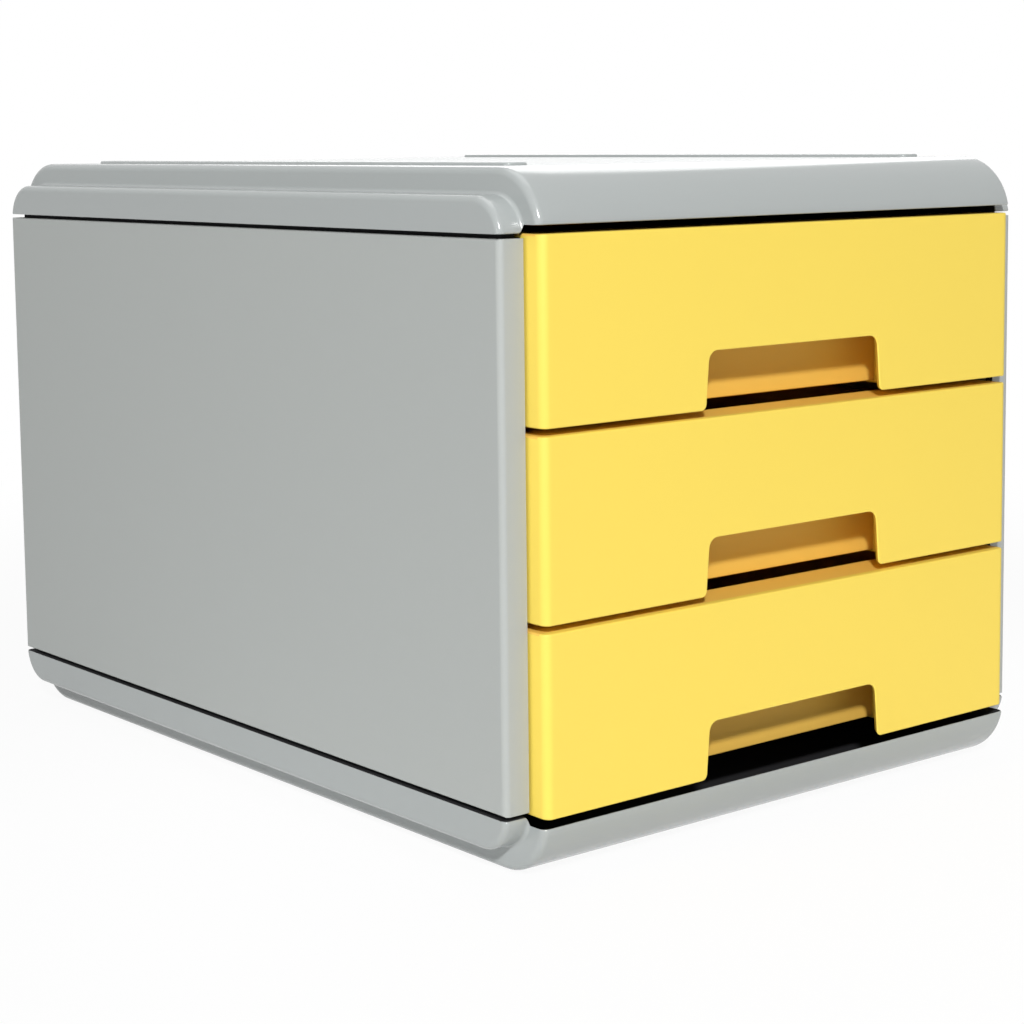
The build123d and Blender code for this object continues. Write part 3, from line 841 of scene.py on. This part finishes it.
def floor_sheet():
    """A large round floor: circles in one plane, white to the camera with the chest's shadow kept near it.

    It gives back half of the light, and nearly all of it close to the drawers.
    """
    plan = circles(FLOOR_RADII, FLOOR_POINTS)
    rings = np.dstack((plan, np.zeros(plan.shape[:2])))
    mesh = bpy.data.meshes.new("floor")
    faces = grid_faces(len(FLOOR_RADII), FLOOR_POINTS, True)
    mesh.from_pydata(rings.reshape(-1, 3).tolist(), [], faces.tolist())
    material, wire = new_material("floor_white")
    place = wire.node("ShaderNodeTexCoord", output="Object")
    far = wire.node("ShaderNodeVectorMath", {"operation": "LENGTH"}, {0: place}, output="Value")
    ahead = {0: place, 1: BRIGHT_PLACE}
    near = wire.node("ShaderNodeVectorMath", {"operation": "DISTANCE"}, ahead, output="Value")
    fade = smooth_range(wire, far, SHADOW_FADE, SHADOW_WHITE, 1.0)
    close = smooth_range(wire, near, BRIGHT_FADE, 1.0, 0.0)
    wide = wire.node("ShaderNodeBsdfDiffuse", None, {"Color": opaque((FLOOR_TINT,) * 3)})
    bright = wire.node("ShaderNodeBsdfDiffuse", None, {"Color": opaque((BRIGHT_TINT,) * 3)})
    paper = wire.node("ShaderNodeMixShader", None, {0: close, 1: wide, 2: bright})
    white = wire.node("ShaderNodeEmission", None, {"Color": opaque(WHITE), "Strength": 1.0})
    shader = wire.node("ShaderNodeMixShader", None, {0: fade * seen_rays(wire), 1: paper, 2: white})
    wire.node("ShaderNodeOutputMaterial", None, {"Surface": shader})
    mesh.materials.append(material)
    floor = bpy.data.objects.new("floor", mesh)
    bpy.context.scene.collection.objects.link(floor)


def even_light(scene, strength):
    """A white surround: full white where it is seen, and an even light of the given strength otherwise."""
    world = bpy.data.worlds.new("surround")
    world.use_nodes = True
    world.node_tree.nodes.clear()
    wire = Wire(world.node_tree)
    seen = seen_rays(wire)
    light = seen * (1.0 - strength) + strength
    sky = wire.node("ShaderNodeBackground", None, {"Color": opaque(WHITE), "Strength": light})
    wire.node("ShaderNodeOutputWorld", None, {"Surface": sky})
    scene.world = world


def soft_lamp(name, watts, side, place):
    """A square soft lamp that looks at the middle of the chest."""
    lamp = bpy.data.lights.new(name, "AREA")
    lamp.energy, lamp.shape, lamp.size = watts, "SQUARE", side
    holder = bpy.data.objects.new(name, lamp)
    bpy.context.scene.collection.objects.link(holder)
    aim = Vector((0.0, 0.0, LID_HIGH.z / 2))
    holder.location = Vector(place)
    holder.rotation_euler = (aim - holder.location).to_track_quat("-Z", "Y").to_euler()


def add_camera(scene, stage):
    """The camera: looks along its turn and tilt, then leans by the roll."""
    level = math.cos(stage.tilt)
    ahead = Vector((math.sin(stage.turn) * level, math.cos(stage.turn) * level, -math.sin(stage.tilt)))
    right = Vector((math.cos(stage.turn), -math.sin(stage.turn), 0.0))
    up = right.cross(ahead)
    lean_right = right * math.cos(stage.roll) + up * math.sin(stage.roll)
    lean_up = up * math.cos(stage.roll) - right * math.sin(stage.roll)
    data = bpy.data.cameras.new("camera")
    data.lens, data.sensor_width, data.shift_y = stage.lens, SENSOR_WIDTH, stage.rise
    data.clip_start, data.clip_end = CAMERA_CLIP
    camera = bpy.data.objects.new("camera", data)
    scene.collection.objects.link(camera)
    axes = Matrix((lean_right, lean_up, -ahead)).transposed().to_4x4()
    camera.matrix_world = Matrix.Translation(Vector(stage.eye)) @ axes
    scene.camera = camera


# Operators, in the order in which they are called, and the panel


class CHEST_OT_lid(bpy.types.Operator):
    """Builds the lid with its stacking rails"""

    bl_idname = "chest.lid"
    bl_label = "Lid"

    def execute(self, context):
        size, finish = context.scene.chest_casing, context.scene.chest_finish
        cap = cap_moulding(size, 0.0)
        sheets = [cap, stacking_rail(size, -1), stacking_rail(size, 1)]
        skins = (casing_plastic(finish), painted_shade_plastic(finish))
        # The faces of the lid's inner shell get the painted shade
        picks = (beyond(cap, len(cap[0]) // 2), 0, 0)
        add_piece("lid_moulding", sheets, CASING, ("lid",), skins, picks)
        return {"FINISHED"}


class CHEST_OT_base(bpy.types.Operator):
    """Builds the base, the lid's mirror image with grooves for the rails of a chest below"""

    bl_idname = "chest.base"
    bl_label = "Base"

    def execute(self, context):
        size, finish = context.scene.chest_casing, context.scene.chest_finish
        middle = (BASE_LOW.z + LID_HIGH.z - size.rail_height) / 2
        groove = size.rail_height - size.foot_stand + STACK_CLEARANCE
        cap = mirrored(cap_moulding(size, groove), 2, middle)
        skins = (casing_plastic(finish), painted_shade_plastic(finish))
        # The faces of the base's inner shell get the painted shade
        picks = (beyond(cap, len(cap[0]) // 2),)
        add_piece("base_moulding", [cap], CASING, ("base",), skins, picks)
        return {"FINISHED"}


class CHEST_OT_side_panels(bpy.types.Operator):
    """Builds both side panels"""

    bl_idname = "chest.side_panels"
    bl_label = "Side Panels"

    def execute(self, context):
        size, finish = context.scene.chest_casing, context.scene.chest_finish
        right = side_panel(size)
        left = [mirrored(sheet, 0) for sheet in right]
        for side, sheets in (("right", right), ("left", left)):
            node = side + "_side_panel"
            skins = (painted_shade_plastic(finish), grained_plastic(finish))
            # The panel's inside rings and its tongues get the painted shade
            picks = (beyond(sheets[0], PANEL_INSIDE_RINGS * PANEL_POINTS), 0, 0)
            add_piece(side + "_panel", sheets, CASING, (node,), skins, picks)
        return {"FINISHED"}


class CHEST_OT_drawer_fronts(bpy.types.Operator):
    """Builds the three drawer fronts"""

    bl_idname = "chest.drawer_fronts"
    bl_label = "Drawer Fronts"

    def execute(self, context):
        size, finish = context.scene.chest_drawer, context.scene.chest_finish
        for name in DRAWERS:
            node = name + "_drawer_front"
            low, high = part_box(node)
            if name != DRAWERS[-1]:
                high = high.copy()
                high.z -= size.top_gap
            sheets = drawer_front(size, low, high)
            # Faces behind the step at a front's top take the trays' deeper yellow, painted shade for the
            # shaded ledge
            ledge = (-np.inf, low.y + size.wall - SLIT, high.z - size.step_down - SLIT)
            picks = (above(sheets[0], ledge), 0, 0, 0, 0)
            skins = (front_plastic(finish), painted_shade_tray_plastic(finish))
            add_piece(name + "_front", sheets, name + "_drawer", (node,), skins, picks)
        return {"FINISHED"}


class CHEST_OT_drawer_trays(bpy.types.Operator):
    """Builds the three drawer trays"""

    bl_idname = "chest.drawer_trays"
    bl_label = "Drawer Trays"

    def execute(self, context):
        size, finish = context.scene.chest_drawer, context.scene.chest_finish
        for name in DRAWERS:
            node = name + "_drawer_tray"
            sheets = drawer_tray(size, *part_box(name + "_drawer_front"), *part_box(node))
            # The tray takes the deeper yellow, painted shade
            skins = (painted_shade_tray_plastic(finish),)
            add_piece(name + "_tray", sheets, name + "_drawer", (node,), skins)
        return {"FINISHED"}


class CHEST_OT_feet(bpy.types.Operator):
    """Builds the four round feet"""

    bl_idname = "chest.feet"
    bl_label = "Feet"

    def execute(self, context):
        size, finish = context.scene.chest_casing, context.scene.chest_finish
        x, y = FEET_HIGH.x - size.foot_radius, FEET_HIGH.y - size.foot_radius
        sheets = [round_foot(size, i * x, j * y) for i in (-1, 1) for j in (-1, 1)]
        skins = (foot_rubber(finish),)
        add_piece("round_feet", sheets, CASING, ("non_slip_feet",), skins)
        return {"FINISHED"}


class CHEST_OT_inner_parts(bpy.types.Operator):
    """Gives the runner racks and the back panel, which stay as packed, their finish"""

    bl_idname = "chest.inner_parts"
    bl_label = "Racks and Back"

    def execute(self, context):
        finish = context.scene.chest_finish
        for node in ("left_runner_rack", "right_runner_rack", "back_panel"):
            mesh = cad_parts[node].data
            mesh.materials.clear()
            mesh.materials.append(grained_plastic(finish))
        return {"FINISHED"}


class CHEST_OT_stage(bpy.types.Operator):
    """Sets up the floor, the soft light and the camera"""

    bl_idname = "chest.stage"
    bl_label = "Stage"

    def execute(self, context):
        scene, stage = context.scene, context.scene.chest_stage
        floor_sheet()
        even_light(scene, stage.sky)
        for name, (side, place) in LAMPS.items():
            soft_lamp(name + "_lamp", getattr(stage, name), side, place)
        add_camera(scene, stage)
        scene.view_settings.view_transform = "Standard"
        return {"FINISHED"}


class CHEST_PT_pieces(bpy.types.Panel):
    """Lists what can be built"""

    bl_idname = "CHEST_PT_pieces"
    bl_label = "Desk Chest"
    bl_space_type = "VIEW_3D"
    bl_region_type = "UI"
    bl_category = "Chest"

    def draw(self, context):
        layout = self.layout
        for operator in BUILDERS:
            layout.operator(operator.bl_idname)
        for group in GROUPS:
            settings = getattr(context.scene, group)
            box = layout.box()
            for key in settings.__annotations__:
                box.prop(settings, key)


BUILDERS = (
    CHEST_OT_lid,
    CHEST_OT_base,
    CHEST_OT_side_panels,
    CHEST_OT_drawer_fronts,
    CHEST_OT_drawer_trays,
    CHEST_OT_feet,
    CHEST_OT_inner_parts,
    CHEST_OT_stage,
)
GROUPS = {
    "chest_casing": ChestCasingSizes,
    "chest_drawer": ChestDrawerSizes,
    "chest_finish": ChestFinishes,
    "chest_stage": ChestStage,
}


def register():
    for group in (*GROUPS.values(), *BUILDERS, CHEST_PT_pieces):
        bpy.utils.register_class(group)
    for key, group in GROUPS.items():
        setattr(bpy.types.Scene, key, PointerProperty(type=group))


def unregister():
    for key in GROUPS:
        delattr(bpy.types.Scene, key)
    for group in (CHEST_PT_pieces, *reversed(BUILDERS), *reversed(GROUPS.values())):
        bpy.utils.unregister_class(group)


def main():
    """Builds everything in order."""
    register()
    bpy.ops.chest.lid()
    bpy.ops.chest.base()
    bpy.ops.chest.side_panels()
    bpy.ops.chest.drawer_fronts()
    bpy.ops.chest.drawer_trays()
    bpy.ops.chest.feet()
    bpy.ops.chest.inner_parts()
    bpy.ops.chest.stage()


if __name__ == "__main__":
    main()
